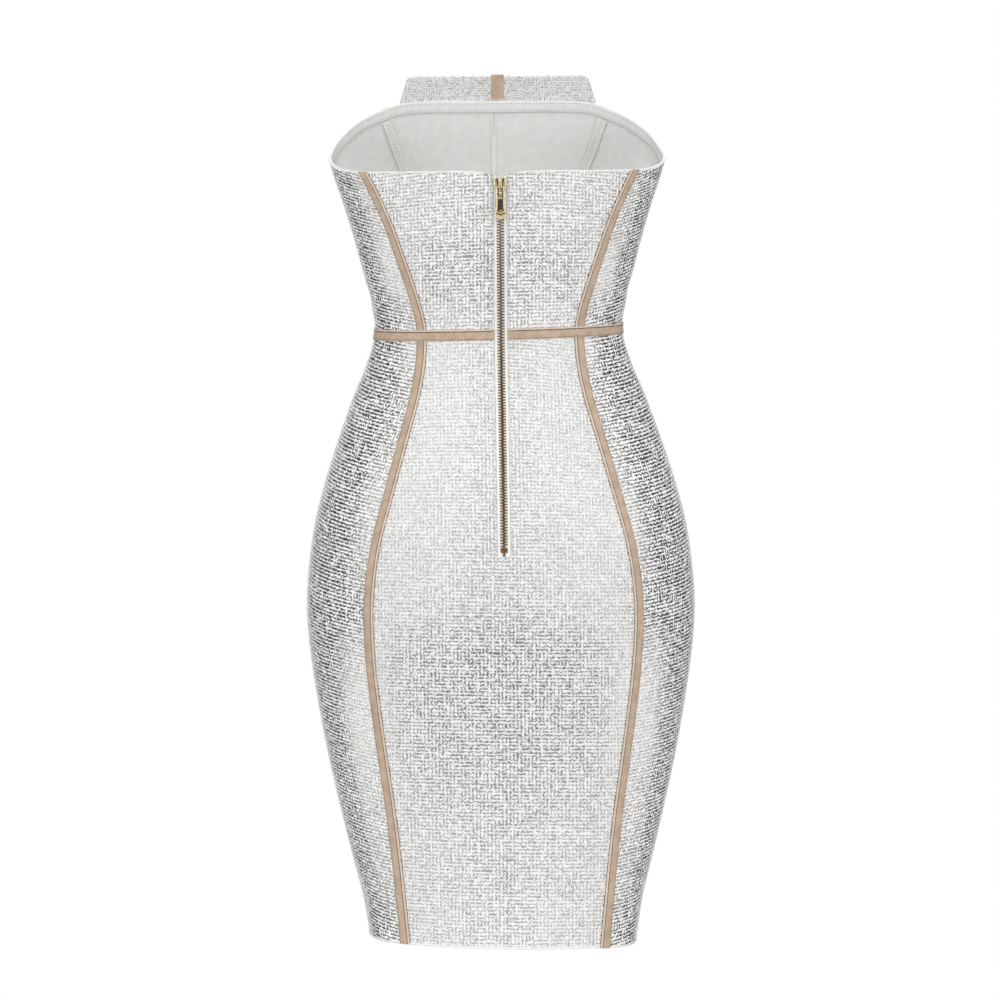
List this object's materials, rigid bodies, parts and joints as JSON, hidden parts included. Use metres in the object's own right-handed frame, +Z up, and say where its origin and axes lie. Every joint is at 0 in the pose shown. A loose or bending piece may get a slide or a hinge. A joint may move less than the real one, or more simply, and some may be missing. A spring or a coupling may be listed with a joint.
{
  "type": "bodycon dress",
  "caption": "Strapless knee-length bodycon dress in silver foil knit, with tan taped seams, a stiff bow on the front neckline and a metal back zip.",
  "frame": {"origin": "centre of the waist seam, in the middle of the hollow that the wearer fills", "axes": "+Z up from hem to neckline, -Y out of the front of the dress, +X towards the wearer's left"},
  "size_m": [0.3683, 0.2417, 0.8245],
  "materials": {
    "foil_knit": "off-white bandage knit with a broken silver foil print",
    "tan_tape": "matt woven tape, light tan",
    "lining_knit": "pale grey wrong side of the knit",
    "zip_tape": "white woven zip tape",
    "dark_brass": "antique brass",
    "gold_brass": "polished light gold"
  },
  "bodies": {
    "dress": {"front_bodice_left": "foil_knit", "front_bodice_right": "foil_knit", "front_bodice_side_left": "foil_knit", "front_bodice_side_right": "foil_knit", "back_bodice_side_left": "foil_knit", "back_bodice_side_right": "foil_knit", "back_bodice_left": "foil_knit", "back_bodice_right": "foil_knit", "front_skirt": "foil_knit", "front_skirt_side_left": "foil_knit", "front_skirt_side_right": "foil_knit", "back_skirt_side_left": "foil_knit", "back_skirt_side_right": "foil_knit", "back_skirt": "foil_knit", "neck_bow": "foil_knit", "front_bodice_tape_left": "tan_tape", "front_bodice_tape_right": "tan_tape", "back_bodice_tape_left": "tan_tape", "back_bodice_tape_right": "tan_tape", "front_skirt_tape_left": "tan_tape", "front_skirt_tape_right": "tan_tape", "back_skirt_tape_left": "tan_tape", "back_skirt_tape_right": "tan_tape", "waist_tape": "tan_tape", "neck_bow_strip": "tan_tape", "neck_facing_front": "lining_knit", "neck_facing_back_left": "lining_knit", "neck_facing_back_right": "lining_knit", "bust_channel_left": "lining_knit", "bust_channel_right": "lining_knit", "zip_tape_left": "zip_tape", "zip_tape_right": "zip_tape", "zip_chain": "dark_brass", "zip_bottom_stop": "dark_brass", "zip_top_stop_left": "gold_brass", "zip_top_stop_right": "gold_brass", "zip_slider": "gold_brass"},
    "pull_tab": {"zip_pull": "gold_brass"}
  },
  "joints": [
    {"name": "pull_tab_swing", "type": "hinge", "parent": "dress", "child": "pull_tab", "pos_m": [0, 0.08963, 0.1389], "axis": [1, 0, 0], "range_deg": [0, 150]}
  ]
}
